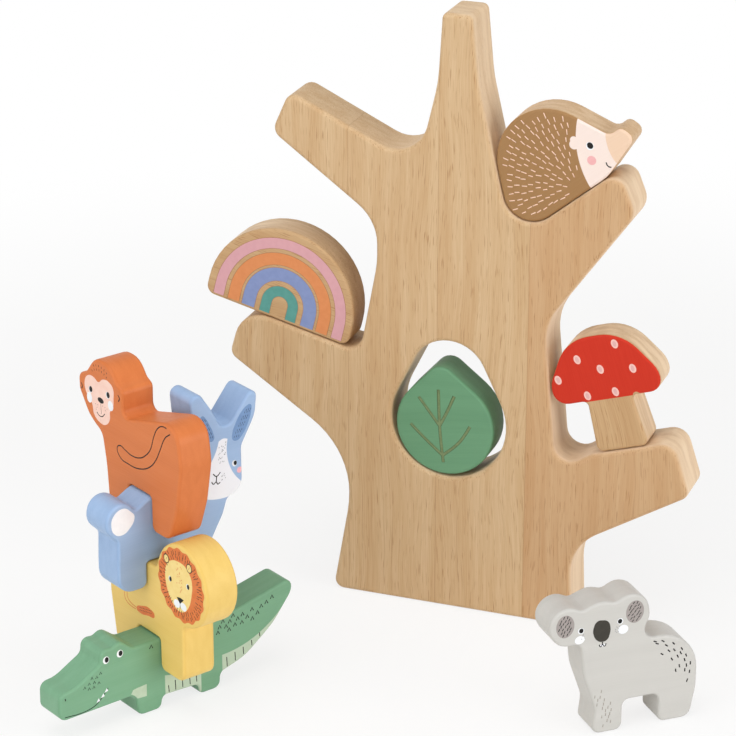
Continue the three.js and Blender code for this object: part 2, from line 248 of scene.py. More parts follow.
def lay_floor():
    bpy.ops.mesh.primitive_circle_add(vertices=FLOOR_CORNERS, radius=FLOOR_RADIUS, fill_type="NGON")
    floor = bpy.context.object
    floor.name = "floor"
    finish = Finish("floor_paper", roughness=0.9)
    x, y, z = finish.on(Matrix.Identity(4))
    finish.set(base_color=finish.tones(finish.noise(x * FLOOR_CLOUD, y * FLOOR_CLOUD, z), FLOOR_TONES))
    away = (x * x + y * y).root().rise(*FLOOR_FADE)
    share = seen_directly(finish) * (FLOOR_WHITE_NEAR + away * (1 - FLOOR_WHITE_NEAR))
    paper = Wire(finish, finish.shader.outputs[0])
    white = finish.node("Emission", {}, {"Color": WHITE, "Strength": 1.0})
    bright = finish.node("MixShader", {}, {0: share, 1: paper, 2: white})
    finish.feed(finish.nodes["Material Output"].inputs["Surface"], bright)
    floor.data.materials.append(finish.material)


def light_world():
    world = bpy.data.worlds.new("studio")
    world.use_nodes = True
    bpy.context.scene.world = world
    graph = Graph(world.node_tree)
    sky = graph.nodes["Background"].inputs
    graph.feed(sky["Color"], WHITE)
    graph.feed(sky["Strength"], WORLD_FILL + seen_directly(graph) * (1 - WORLD_FILL))


def add_lamp(name, place, watts, size):
    start = Vector(place) * MM
    turn = (LAMP_AIM - start).to_track_quat("-Z", "Y").to_euler()
    bpy.ops.object.light_add(type="AREA", location=start, rotation=turn)
    lamp = bpy.context.object
    lamp.name = name
    lamp.data.energy = watts
    lamp.data.size = size


lay_floor()
light_world()
for name, lamp in LAMPS.items():
    add_lamp(name, *lamp)
print("stage: floor, world and", len(bpy.data.lights), "lamps")

# %% [markdown]
# Each board has a plane on its printed face: across, up and out, with its origin where the board's drawing
# has it. Prints are drawn flat in millimetres and laid on that plane, and each finish reads the same plane,
# so wood grain and colour stay with the board however it is turned.

# %% The boards' planes
TREE_THICKNESS = 22
PIECE_THICKNESS = 15
FRONT_ROW = -2.5
STACK = Vector((-80.9, -125.2, 0))
STACK_YAW = 58.5
KOALA = Vector((98.8, -76.7, 0))
KOALA_YAW = 41.3


def turned(degrees, axis):
    return Matrix.Rotation(math.radians(degrees), 4, axis)


def face_plane(middle, yaw=0.0, tilt=0.0, thickness=PIECE_THICKNESS):
    """The plane of a board's printed face, from the middle of the board and how it is turned."""
    turn = turned(yaw, "Z") @ turned(90, "X") @ turned(tilt, "Z")
    out = turn.to_3x3().col[2]
    return Matrix.Translation((Vector(middle) + out * thickness / 2) * MM) @ turn


def in_stack(along, across, floor):
    """A point of the stack: along the alligator, across it and above the ground."""
    return STACK + turned(STACK_YAW, "Z") @ Vector((along, across, floor))


PLANES = {
    "tree": face_plane((0, 0, 0), thickness=TREE_THICKNESS),
    "leaf": face_plane((-3.75, FRONT_ROW, 82.34), tilt=5),
    "rainbow": face_plane((-78.97, FRONT_ROW, 120.28), tilt=-14),
    "mushroom": face_plane((73.28, FRONT_ROW, 84.34), tilt=17),
    "hedgehog": face_plane((24.2, FRONT_ROW, 167.6), tilt=39.2),
    "alligator": face_plane(in_stack(0, 0, 0), yaw=STACK_YAW),
    "lion": face_plane(in_stack(0, 0, 17.7), yaw=STACK_YAW - 90),
    "bunny": face_plane(in_stack(0, 6.5, 51.3), yaw=STACK_YAW),
    "monkey": face_plane(in_stack(2, 6.5, 75.2), yaw=STACK_YAW - 90),
    "koala": face_plane(KOALA, yaw=KOALA_YAW),
}
print(len(PLANES), "printed faces")

# %% [markdown]
# A real board has the smooth round-over of a router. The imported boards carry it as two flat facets. A copy
# of each board is stripped to its side wall, the wall is pulled out to the full thickness, both faces are
# filled again, and a Bevel modifier with six steps rounds the edge as before. Weighted normals then keep
# the faces flat beside the round edge.

# %% Boards with a smooth round-over
TREE_EDGE = 2.0
PIECE_EDGE = 1.2
EDGE_STEPS = 6
EDGE_ANGLE = 60
SHADE_ANGLE = 40
FLAT_ANGLE = 0.3
WELD = 0.01
WALL_SLACK = 0.05


def select_only(*pieces):
    bpy.ops.object.select_all(action="DESELECT")
    for piece in pieces:
        piece.select_set(True)
    bpy.context.view_layer.objects.active = pieces[0]


def open_mesh(weld):
    """Goes into edit mode and joins points that lie together."""
    bpy.ops.object.mode_set(mode="EDIT")
    bpy.ops.mesh.select_all(action="SELECT")
    bpy.ops.mesh.remove_doubles(threshold=weld * MM)


def close_mesh():
    """Turns every face outward and leaves edit mode."""
    bpy.ops.mesh.select_all(action="SELECT")
    bpy.ops.mesh.normals_make_consistent(inside=False)
    bpy.ops.object.mode_set(mode="OBJECT")


def pick(board, test):
    """Selects the vertices of a board that pass a test, in edit mode."""
    bpy.ops.mesh.select_mode(type="VERT")
    bpy.ops.mesh.select_all(action="DESELECT")
    shape = bmesh.from_edit_mesh(board.data)
    for vertex in shape.verts:
        vertex.select_set(test(vertex.co))
    shape.select_flush_mode()
    bmesh.update_edit_mesh(board.data)


def apply_modifier(piece, kind, **settings):
    modifier = piece.modifiers.new(kind.title(), kind)
    for name, value in settings.items():
        setattr(modifier, name, value)
    bpy.ops.object.modifier_apply(modifier=modifier.name)


def copy_of(node):
    select_only(frame["nodes"][node])
    bpy.ops.object.duplicate()
    board = bpy.context.object
    bpy.ops.object.parent_clear(type="CLEAR_KEEP_TRANSFORM")
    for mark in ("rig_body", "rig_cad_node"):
        del board[mark]
    board.name = node + "_board"
    board.data.name = board.name
    board.data.materials.clear()
    return board


def settle_shading(board):
    """Smooth round edges beside flat faces."""
    bpy.ops.object.shade_smooth_by_angle(angle=math.radians(SHADE_ANGLE))
    apply_modifier(board, "WEIGHTED_NORMAL", keep_sharp=True)


def smooth_board(node, thickness=PIECE_THICKNESS, edge=PIECE_EDGE):
    """A copy of a packed board with its faceted edges made round, riding on the board's body."""
    out = PLANES[node].to_3x3().col[2]
    middle = PLANES[node].translation - out * thickness / 2 * MM
    wall = (thickness / 2 - edge + WALL_SLACK) * MM
    board = copy_of(node)
    open_mesh(WELD)
    pick(board, lambda place: abs((place - middle).dot(out)) > wall)
    bpy.ops.mesh.delete(type="VERT")
    bpy.ops.mesh.select_all(action="SELECT")
    bpy.ops.mesh.dissolve_limited(angle_limit=math.radians(FLAT_ANGLE))
    for side in (1, -1):
        pick(board, lambda place: side * (place - middle).dot(out) > 0)
        bpy.ops.transform.translate(value=out * side * edge * MM)
        bpy.ops.mesh.fill(use_beauty=True)
    close_mesh()
    apply_modifier(
        board,
        "BEVEL",
        width=edge * MM,
        segments=EDGE_STEPS,
        limit_method="ANGLE",
        angle_limit=math.radians(EDGE_ANGLE),
        use_clamp_overlap=False,
        loop_slide=False,
    )
    settle_shading(board)
    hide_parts(node)
    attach(board, node)
    return board


boards = {node: smooth_board(node) for node in PLANES if node != "tree"}
boards["tree"] = smooth_board("tree", TREE_THICKNESS, TREE_EDGE)
print({node: len(board.data.polygons) for node, board in boards.items()})

# %% [markdown]
# Wood is a pattern that runs through the whole board, so it is worked out in space and not painted on faces.
# Five noises are stretched along the grain. A slow drift bends the other four: broad bands, fine fibres,
# short dark pores and long fainter streaks. The bands lie flat in the board, as growth rings do, so they show
# as lines along its sawn sides.

# %% Wood figure
# Painted highlight: the pale tone that sawn sides are mixed towards, where the lamps light them.
HIGHLIGHT_TONE = paint("F2D8B8")
PORE_BROWN = paint("8F5C26")
DRIFT_PITCH = (0.03, 0.03, 0.008)
DRIFT_BEND = 14
FIGURE = {
    "bands": ((0.14, 0.3, 0.005), 2, (0.3, 0.7)),
    "fibres": ((1.9, 1.9, 0.04), 3, (0.25, 0.75)),
    "pores": ((2.6, 2.6, 0.1), 1, (0.62, 0.7)),
    "streaks": ((1.1, 1.1, 0.014), 3, (0.61, 0.7)),
}
STREAK_SHARE = 0.5


def grain_noise(finish, place, pitch, detail=2):
    """A noise with its own pitch across, through and along the grain, in turns per millimetre."""
    return finish.noise(*[part * turns for part, turns in zip(place, pitch)], detail=detail)


def wood_figure(finish, across, depth, along):
    """Bands, fibres and pores that run along one direction, each from 0 to 1."""
    drift = grain_noise(finish, (across, depth, along), DRIFT_PITCH)
    place = (across + drift * DRIFT_BEND, depth, along)
    masks = [grain_noise(finish, place, pitch, detail).rise(*span) for pitch, detail, span in FIGURE.values()]
    bands, fibres, pores, streaks = masks
    return bands, fibres, pores + streaks * STREAK_SHARE


def show_grain(finish, figure, shares, tones, rough, depth):
    """The colour that a figure gives, with its sheen and relief set on the finish."""
    bands, fibres, pores = figure
    finish.set(roughness=rough[0] + fibres * rough[1])
    finish.bump(fibres - pores, depth)
    return finish.tones(bands * shares[0] + fibres * shares[1], tones)


def dress(node, finish):
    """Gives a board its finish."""
    board = boards[node]
    board.data.materials.append(finish.material)


print("wood figure: bands, fibres and pores")

# %% [markdown]
# The tree is sawn from a panel of glued staves, so the grain starts afresh at each glue line and one stave
# is a little redder. Its sawn sides are painted paler as a painted highlight, a little everywhere and most
# towards the right, where the lamp on the right lights them. Clear lacquer gives a soft sheen, and the pores
# leave a relief of a few hundredths of a millimetre.

# %% Tree
STAVE_JOINTS = (-46, -7, 32)
STAVE_SHIFT = 41
RED_STAVE_FROM = 32
JOINT_BLUR = 0.05
GLUE_LINE = (0.06, 0.26)
RIGHT_LIGHT_SPAN = (-60, 60)
TREE_SIDE = (9.0, 10.9)
TREE_GRAIN = {"shares": (0.45, 0.45), "tones": ("D4B892", "BE986C"), "rough": (0.46, 0.12), "depth": 0.02}
STAVE_RED = paint("BD8A5E")
RED_SHARE = 0.35
PORE_SHARE = 0.5
GLUE_SHARE = 0.3
SIDE_HIGHLIGHT = 0.1
RIGHT_HIGHLIGHT = 0.75
HIGHLIGHT_BANDS = 0.3


def tree_wood():
    finish = Finish("tree_wood", coat_weight=0.03, coat_roughness=0.35, specular_ior_level=0.15)
    across, up, out = finish.on(PLANES["tree"])
    shift = 0
    glue = 0
    for joint in STAVE_JOINTS:
        shift = shift + across.past(joint, JOINT_BLUR) * STAVE_SHIFT
        glue = glue + (1 - abs(across - joint).rise(*GLUE_LINE))
    figure = wood_figure(finish, across + shift, out, up)
    bands, _, pores = figure
    colour = show_grain(finish, figure, **TREE_GRAIN)
    colour = finish.mix(across.past(RED_STAVE_FROM, JOINT_BLUR) * RED_SHARE, colour, STAVE_RED)
    colour = finish.mix(pores * PORE_SHARE + glue * GLUE_SHARE, colour, PORE_BROWN)
    # Painted highlight: the sawn sides are mixed towards the pale tone, a little everywhere and most on the
    # right.
    sides = 1 - abs(out + TREE_THICKNESS / 2).rise(*TREE_SIDE)
    pale = sides * (SIDE_HIGHLIGHT + across.rise(*RIGHT_LIGHT_SPAN) * (RIGHT_HIGHLIGHT - bands * HIGHLIGHT_BANDS))
    finish.set(base_color=finish.mix(pale, colour, HIGHLIGHT_TONE))
    return finish


dress("tree", tree_wood())
print("tree: lacquered, staves meet at", STAVE_JOINTS)

# %% [markdown]
# The small boards are the same wood under an opaque satin stain or left natural. Only a trace of the figure
# shows through the stain, and the round edges are painted a little darker, as a painted shade line. The
# grain runs along each animal, from nose to tail.

# %% Stained boards
STAINS = {
    "leaf": ("6B9A76", "5D8B68", "leaf_green"),
    "lion": ("EBC975", "E1BB62", "lion_yellow"),
    "monkey": ("D67B44", "C86D38", "monkey_orange"),
    "koala": ("C9C7C2", "BFBDB8", "koala_grey"),
}
EDGE_BAND = ((5.9, 6.6), (7.0, 7.45))
RIM_SHADE = 0.5
STAIN_GRAIN = {"shares": (0.35, 0.2), "rough": (0.42, 0.1), "depth": 0.008}


def round_edge(out):
    """1 on the round edges between the faces and the side of a small board."""
    reach = abs(out + PIECE_THICKNESS / 2)
    return reach.rise(*EDGE_BAND[0]) * (1 - reach.rise(*EDGE_BAND[1]))


def stain(node, colour, deep):
    """A stained finish, its colour and the coordinates on the board's face, for more masks."""
    finish = Finish(node + "_stain", coat_weight=0.06, coat_roughness=0.32, specular_ior_level=0.2)
    across, up, out = finish.on(PLANES[node])
    figure = wood_figure(finish, up, out, across)
    tone = show_grain(finish, figure, tones=(colour, deep), **STAIN_GRAIN)
    # Painted shade: the round edges are mixed a little towards the darker stain tone.
    tone = finish.mix(round_edge(out) * RIM_SHADE, tone, paint(deep))
    return finish, tone, (across, up, out)


for node, (colour, deep, slot) in STAINS.items():
    finish, tone, _ = stain(node, colour, deep)
    finish.set(base_color=tone)
    dress(node, finish)
print("stained:", ", ".join(STAINS))

# %% [markdown]
# Four boards have a second colour that runs right off the edge of the face, so it belongs to the finish and
# not to a print. The hedgehog's coat, the mushroom's cap, the alligator's belly and the bunny's white nose
# are rolled on over the front: each is a mask on the board's own plane, and stops just round the corner.

# %% Boards with a painted front
FRONT_SKIN = (-0.75, -0.55)
HEDGEHOG_FACE = ((80.7, -2.9), 39)
HEDGEHOG_NOSE = ((76, 4), 19)
HEDGEHOG_EAR = (((47.1, 18.5), 2.0), ((48.1, 20.1), 1.5))
CAP_FOOT = 22.3
BARE_SPOT = ((11.8, 22.1), 1.5)
BELLY_SPAN = (-5.4, 12)
BELLY_TOP = (13.0, -0.21)
TAIL_ARC = ((22.4, 57.3), 43)
EYE_FIELDS = (((51.9, 48.5), 20.75), ((7.15, 57.7), 20.75))
BLAZE_TOP = (29.6, 53.7)
CHIN = (30, 28.1)
BUNNY_CHEEK = ((37.2, 38.2), 1.3)
MASK_BLUR = 0.12
CAP_BLUR = 0.1
BELLY_BLUR = 0.2
BELLY_TOP_BLUR = 0.15
TAIL_END = (26, 27)
BLAZE_BEND = 0.15
CHIN_BEND = 0.02
PIECE_SIDE = (5.6, 7.2)
PIECE_SPAN = (-30, 30)
NATURAL_GRAIN = {"shares": (0.4, 0.35), "tones": ("CAA980", "B38A5E"), "rough": (0.46, 0.12), "depth": 0.02}
NATURAL_PORES = 0.55
SIDE_BANDS = 0.5
PAINT_GRAIN = 0.4
SNOUT_GRAIN = 0.3
COAT_TONES = ("A07A50", "997249")
SNOUT_TONES = ("EFDED5", "EAD6CB")
NOSE_TONES = ("E8CAB0", "E2BF9F")
CAP_TONES = ("C8331F", "BF2C1A")
ALLIGATOR_TONES = ("7DAA89", "6E9C7A")
BELLY_GREEN = paint("BCCDB5")
BUNNY_TONES = ("A0BADC", "90ABD0")
BLAZE_WHITE = paint("ECEEF4")
BUNNY_PINK = paint("F0B3BB")


def within(across, up, centre, radius):
    """1 inside a circle on the face."""
    aside = across - centre[0]
    above = up - centre[1]
    return 1 - (aside * aside + above * above).root().past(radius, MASK_BLUR)


def natural(node, along_up, pale):
    """Bare lacquered wood: the grain up the board or across it, and how much painted highlight its left and
    right sawn sides get.
    """
    finish = Finish(node + "_wood", coat_weight=0.03, coat_roughness=0.38, specular_ior_level=0.15)
    across, up, out = finish.on(PLANES[node])
    side, along = (across, up) if along_up else (up, across)
    figure = wood_figure(finish, side, out, along)
    bands, fibres, pores = figure
    tone = show_grain(finish, figure, **NATURAL_GRAIN)
    tone = finish.mix(pores * NATURAL_PORES, tone, PORE_BROWN)
    # Painted highlight: the sawn sides are mixed towards a pale tone, by a share that runs from the left of
    # the board to the right.
    sides = 1 - abs(out + PIECE_THICKNESS / 2).rise(*PIECE_SIDE)
    share = pale[0] + across.rise(*PIECE_SPAN) * (pale[1] - pale[0])
    tone = finish.mix(sides * (1 - bands * SIDE_BANDS) * share, tone, HIGHLIGHT_TONE)
    return finish, tone, (across, up, out), fibres


def hedgehog_finish():
    finish, wood, (across, up, out), fibres = natural("hedgehog", along_up=False, pale=(0.4, 0.4))
    face = within(across, up, *HEDGEHOG_FACE)
    for bump in HEDGEHOG_EAR:
        face = face + within(across, up, *bump)
    nose = within(across, up, *HEDGEHOG_NOSE)
    coat = finish.tones(fibres * PAINT_GRAIN, COAT_TONES)
    colour = finish.mix(face.rise(0, 1), coat, finish.tones(fibres * SNOUT_GRAIN, SNOUT_TONES))
    colour = finish.mix(nose, colour, finish.tones(fibres * SNOUT_GRAIN, NOSE_TONES))
    finish.set(base_color=finish.mix(out.rise(*FRONT_SKIN), wood, colour))
    return finish


def mushroom_finish():
    finish, wood, (across, up, out), fibres = natural("mushroom", along_up=True, pale=(0.8, 0.8))
    cap = up.past(CAP_FOOT, CAP_BLUR) * (1 - within(across, up, *BARE_SPOT))
    red = finish.tones(fibres * PAINT_GRAIN, CAP_TONES)
    finish.set(base_color=finish.mix(cap * out.rise(*FRONT_SKIN), wood, red))
    return finish


def alligator_finish():
    finish, tone, (across, up, out) = stain("alligator", *ALLIGATOR_TONES)
    start, end = BELLY_SPAN
    middle = across.past(start, BELLY_BLUR) * (1 - across.past(end, BELLY_BLUR))
    top = BELLY_TOP[0] + across * BELLY_TOP[1]
    belly = middle * (1 - (up - top).past(0, BELLY_TOP_BLUR))
    tail = across.past(TAIL_ARC[0][0], BELLY_BLUR) * (1 - within(across, up, *TAIL_ARC))
    low = belly + tail * (1 - up.rise(*TAIL_END))
    finish.set(base_color=finish.mix(low * out.rise(*FRONT_SKIN), tone, BELLY_GREEN))
    return finish


def bunny_finish():
    finish, tone, (across, up, out) = stain("bunny", *BUNNY_TONES)
    front = out.rise(*FRONT_SKIN)
    white = front
    for field in EYE_FIELDS:
        white = white * (1 - within(across, up, *field))
    aside = across - BLAZE_TOP[0]
    white = white * (1 - (up + aside * aside * BLAZE_BEND - BLAZE_TOP[1]).past(0, MASK_BLUR))
    aside = across - CHIN[0]
    white = white * (up - aside * aside * CHIN_BEND - CHIN[1]).past(0, MASK_BLUR)
    cheek = within(across, up, *BUNNY_CHEEK) * front
    colour = finish.mix(white, tone, BLAZE_WHITE)
    finish.set(base_color=finish.mix(cheek, colour, BUNNY_PINK))
    return finish


dress("hedgehog", hedgehog_finish())
dress("mushroom", mushroom_finish())
dress("alligator", alligator_finish())
dress("bunny", bunny_finish())
# The rainbow's right side, which the trunk shades, gets no painted highlight.
rainbow, wood, _, _ = natural("rainbow", along_up=False, pale=(0.95, 0))
rainbow.set(base_color=wood)
dress("rainbow", rainbow)
print("painted fronts: 4, bare: rainbow")

# %% [markdown]
# The faces and marks are screen printed: each ink is a film with its own outline and a small height, and
# a later ink lies on an earlier one. A film is drawn as a flat curve in millimetres on the board's plane,
# turned into a thin closed mesh, and laid in place. Lines are drawn the same way as flattened threads.

# %% Printing
INK_FILM = 0.045
INK_CLOUD = 0.4
CLOUD_SPREAD = (0.3, 0.7)
INK_SHARE = 0.6
INK_ROUGH = (0.5, 0.1)
CURVE_STEPS = 6
FILM_WELD = 0.001
OVAL_POINTS = 12
INKS = {}
prints = {}


def mix_ink(name, *pair):
    """A printed ink with the slight mottling of a hand-pulled screen."""
    finish = Finish(name + "_ink", specular_ior_level=0.25)
    place = finish.on(Matrix.Identity(4))
    cloud = finish.noise(*[part * INK_CLOUD for part in place], detail=3).rise(*CLOUD_SPREAD)
    finish.set(base_color=finish.tones(cloud * INK_SHARE, pair))
    finish.set(roughness=INK_ROUGH[0] + cloud * INK_ROUGH[1])
    INKS[name] = finish.material


mix_ink("black", "100E0D", "1C1816")
mix_ink("white", "F1F3F6", "EAECF0")
mix_ink("brown", "41261A", "523222")


def start_curve(shape):
    bpy.ops.curve.primitive_bezier_curve_add()
    curve = bpy.context.object.data
    curve.splines.clear()
    curve.dimensions = shape
    curve.resolution_u = CURVE_STEPS
    return curve


def add_spline(curve, points, closed, smooth):
    spline = curve.splines.new("BEZIER" if smooth else "POLY")
    knots = spline.bezier_points if smooth else spline.points
    knots.add(len(points) - 1)
    for knot, (across, up) in zip(knots, points):
        if smooth:
            knot.co = (across, up, 0)
            knot.handle_left_type = knot.handle_right_type = "AUTO"
        else:
            knot.co = (across, up, 0, 1)
    spline.use_cyclic_u = closed


def lay(node, colour, flatten=1.0):
    """Turns the current curve into a mesh and lays it on a board's printed face."""
    bpy.ops.object.convert(target="MESH")
    film = bpy.context.object
    film.data.materials.clear()
    film.data.materials.append(INKS[colour])
    film.matrix_world = PLANES[node] @ Matrix.Diagonal((MM, MM, MM * flatten, 1))
    bpy.ops.object.transform_apply(location=True, rotation=True, scale=True)
    open_mesh(FILM_WELD)
    close_mesh()
    prints.setdefault((node, colour), []).append(film)


def stamp(node, colour, outlines, layer=1, smooth=True):
    """Filled shapes of one ink. An outline inside another leaves a hole."""
    curve = start_curve("2D")
    curve.fill_mode = "BOTH"
    curve.extrude = INK_FILM * layer
    for outline in outlines:
        add_spline(curve, outline, True, smooth)
    lay(node, colour)


def draw(node, colour, strokes, width, layer=1, smooth=False):
    """Lines of one ink and width."""
    curve = start_curve("3D")
    curve.bevel_depth = width / 2
    curve.bevel_resolution = 1
    curve.use_fill_caps = True
    for stroke in strokes:
        add_spline(curve, stroke, False, smooth)
    lay(node, colour, flatten=INK_FILM * layer / (width / 2))


def oval(across, up, width, height, lean=0.0):
    """The outline of an oval, leaning by some degrees to the left."""
    turn = Matrix.Rotation(math.radians(lean), 2)
    steps = [math.tau * step / OVAL_POINTS for step in range(OVAL_POINTS)]
    ring = [turn @ Vector((width / 2 * math.cos(step), height / 2 * math.sin(step))) for step in steps]
    return [(across + spot.x, up + spot.y) for spot in ring]


def ovals(marks):
    return [oval(*mark) for mark in marks]


def stamp_eyes(node, eyes, pupils, layer=1):
    stamp(node, "white", ovals(eyes), layer)
    stamp(node, "black", ovals(pupils), layer + 1)


def around(centre, reach, bearing):
    """The point at some distance and bearing from a centre, in degrees from the right."""
    turn = math.radians(bearing)
    return centre[0] + reach * math.cos(turn), centre[1] + reach * math.sin(turn)


def dash(across, up, length, bearing):
    """A short straight stroke about its middle."""
    return [around((across, up), reach, bearing) for reach in (-length / 2, length / 2)]


print("inks ready:", ", ".join(INKS))

# %% [markdown]
# The rainbow has four bands round one centre, each going straight down to the foot of the board. Bare wood
# is left between them, and a burnt line follows both edges of each band, as a laser leaves it.

# %% Rainbow
ARCH_MIDDLE = (0.2, 7)
ARCH_STEPS = 40
BAND_FOOT = 1.4
BANDS = {"pink": (24.9, 29.6), "orange": (17.7, 23), "blue": (10.6, 16.5), "teal": (3.6, 8.3)}
mix_ink("pink", "D5A1A7", "CF9AA0")
mix_ink("orange", "D98C58", "D28350")
mix_ink("blue", "8493BE", "7B8AB6")
mix_ink("teal", "5A9990", "518F86")
mix_ink("burnt", "A87650", "966744")


def arch(radius):
    """A stroke up one leg, round the arch and down the other leg."""
    top = [around(ARCH_MIDDLE, radius, 180 * step / ARCH_STEPS) for step in range(ARCH_STEPS + 1)]
    return [(ARCH_MIDDLE[0] + radius, BAND_FOOT), *top, (ARCH_MIDDLE[0] - radius, BAND_FOOT)]


for colour, (inner, outer) in BANDS.items():
    stamp("rainbow", colour, [arch(outer) + arch(inner)[::-1]], smooth=False)
edges = [arch(radius) for span in BANDS.values() for radius in span]
draw("rainbow", "burnt", edges, width=0.22, layer=1.4)
print("rainbow:", len(BANDS), "bands")

# %% [markdown]
# The mushroom's spots are ovals that lean with the cap, each a pale ring round a greyer middle. The bare spot
# at the brim, cut off by the edge of the red, is already part of the finish.

# %% Mushroom
SPOTS = ((-19.4, 33.4), (-9, 40.8), (-0.4, 35.3), (8.4, 45), (13.2, 33.6), (3.4, 24.9), (-8.8, 24.9))
SPOT_RING = (2.8, 3.9)
SPOT_MIDDLE = (1.5, 2.5)
SPOT_LEAN = 8
mix_ink("blush", "F0C4BA", "EABAB0")
mix_ink("dusk", "DFAFAB", "D8A5A2")

stamp("mushroom", "blush", [oval(*spot, *SPOT_RING, SPOT_LEAN) for spot in SPOTS])
stamp("mushroom", "dusk", [oval(*spot, *SPOT_MIDDLE, SPOT_LEAN) for spot in SPOTS], layer=2)
print("mushroom:", len(SPOTS), "spots")

# %% [markdown]
# The hedgehog's spines are short pale dashes that fan out from under its chin, in rows like roof tiles. A
# dash is only printed where it has room on the coat: clear of the face, the belly line, the back against
# the trunk and the round crown.

# %% Hedgehog
COAT_CENTRE = (34.2, 17.2)
COAT_RADIUS = 20.6
COAT_BACK = 64
TAIL_CENTRE = (18.9, 12)
TAIL_RADIUS = 10.2
BELLY_MARGIN = 2.1
BACK_MARGIN = 2.2
FACE_MARGIN = 1.5
EAR_MARGIN = 3.2
SPINE_SOURCE = (38, 3)
SPINE_ROWS = range(2, 14)
SPINE_FAN = (15, 190)
SPINE_LENGTH = (1.8, 2.4)
ROW_PITCH = 2.9
SPINE_PITCH = 2.7
SPINE_TURN = 0.15
SPINE_SHIFT = 0.35
SPINE_LEAN = 8
HEDGEHOG_CHEEK = (49.2, 9.4, 3.6, 3.8)
HEDGEHOG_EYE = (52.2, 14.5, 3.1, 3.4)
HEDGEHOG_PUPIL = (52.4, 14.6, 2.4, 2.8)
HEDGEHOG_SMILE = [(53.7, 5.6), (53.4, 4.5), (53.6, 3.5), (54.3, 2.8)]
mix_ink("spine", "F4D3BF", "EDC5AF")
mix_ink("cheek", "EBB2B2", "E5A6A6")


def on_coat(across, up):
    """True where a spine has room on the coat."""
    back = math.radians(COAT_BACK)
    from_back = across * math.sin(back) - up * math.cos(back)
    from_face = math.dist((across, up), HEDGEHOG_FACE[0]) - HEDGEHOG_FACE[1]
    from_ear = math.dist((across, up), HEDGEHOG_EAR[0][0])
    if up < BELLY_MARGIN or from_back < BACK_MARGIN or from_face < FACE_MARGIN or from_ear < EAR_MARGIN:
        return False
    if across < TAIL_CENTRE[0] and up < TAIL_CENTRE[1]:
        return math.dist((across, up), TAIL_CENTRE) < TAIL_RADIUS
    return up < COAT_CENTRE[1] or math.dist((across, up), COAT_CENTRE) < COAT_RADIUS


def jitter(chance, size):
    """A random shift of up to some size either way."""
    return chance.uniform(-size, size)


def spines():
    chance = random.Random(7)
    strokes = []
    for row in SPINE_ROWS:
        reach = row * ROW_PITCH
        count = int(math.pi * reach / SPINE_PITCH)
        for place in range(count):
            turn = (place + row % 2 / 2 + jitter(chance, SPINE_TURN)) / count
            bearing = SPINE_FAN[0] + SPINE_FAN[1] * turn
            spot = around(SPINE_SOURCE, reach + jitter(chance, SPINE_SHIFT), bearing)
            if on_coat(*spot):
                length = chance.uniform(*SPINE_LENGTH)
                strokes.append(dash(*spot, length, bearing + jitter(chance, SPINE_LEAN)))
    return strokes


rows = spines()
draw("hedgehog", "spine", rows, width=0.42)
stamp("hedgehog", "cheek", [oval(*HEDGEHOG_CHEEK)])
stamp_eyes("hedgehog", [HEDGEHOG_EYE], [HEDGEHOG_PUPIL])
draw("hedgehog", "black", [HEDGEHOG_SMILE], width=0.5, smooth=True)
print("hedgehog:", len(rows), "spines")

# %% [markdown]
# The leaf's veins are milled with a round cutter, so they are real grooves. Threads along the veins are taken
# away from the board with a Boolean modifier. The threads carry the colour of the bare groove as their
# material, and the modifier leaves it on the cut faces.

# %% Leaf
VEINS = (
    [(-1.4, 16.7), (-2, 3.2), (-2.1, -4.6), (-1.7, -15.9)],
    [(-2.2, 0.6), (-6.2, 6.8), (-10.3, 13.1)],
    [(-2, 0.6), (1.9, 7.3), (5.4, 14.1)],
    [(-2, -12.6), (-9.1, -5.5), (-14.9, 0.8)],
    [(-1.9, -12.9), (5.3, -7.2), (8.7, -3.1), (11.3, 0.9)],
)
VEIN_WIDTH = 1.4
VEIN_DEPTH = 0.45
GROOVE_CLOUD = 0.8
GROOVE_LIP = (0, 0.4)
GROOVE_TONES = ("7E8F62", "6F8055")
GROOVE_DARK = paint("48633F")


def groove_finish():
    finish = Finish("leaf_groove", roughness=0.6)
    across, up, out = finish.on(PLANES["leaf"])
    cloud = finish.noise(across * GROOVE_CLOUD, up * GROOVE_CLOUD, out, detail=3).rise(*CLOUD_SPREAD)
    floor = finish.tones(cloud, GROOVE_TONES)
    finish.set(base_color=finish.mix((out + VEIN_DEPTH).rise(*GROOVE_LIP), floor, GROOVE_DARK))
    return finish.material


INKS["groove"] = groove_finish()


def mill_veins():
    board = boards["leaf"]
    draw("leaf", "groove", VEINS, VEIN_WIDTH, layer=VEIN_DEPTH / INK_FILM, smooth=True)
    cutter = prints.pop(("leaf", "groove"))[0]
    board.data.materials.append(INKS["groove"])
    cutter.data.materials[0] = board.data.materials[0]
    cutter.data.materials.append(INKS["groove"])
    for face in cutter.data.polygons:
        face.material_index = 1
    select_only(board)
    apply_modifier(board, "BOOLEAN", object=cutter, operation="DIFFERENCE", solver="EXACT", use_self=True)
    bpy.data.objects.remove(cutter)
    settle_shading(board)


mill_veins()
print("leaf:", len(VEINS), "veins,", len(boards["leaf"].data.polygons), "faces")

# %% [markdown]
# The alligator's jaw and freckles are dark green, and the ribs on its pale belly and the scales on its back
# are black. Scales and freckles repeat, so one hooked stroke is drawn at every place.

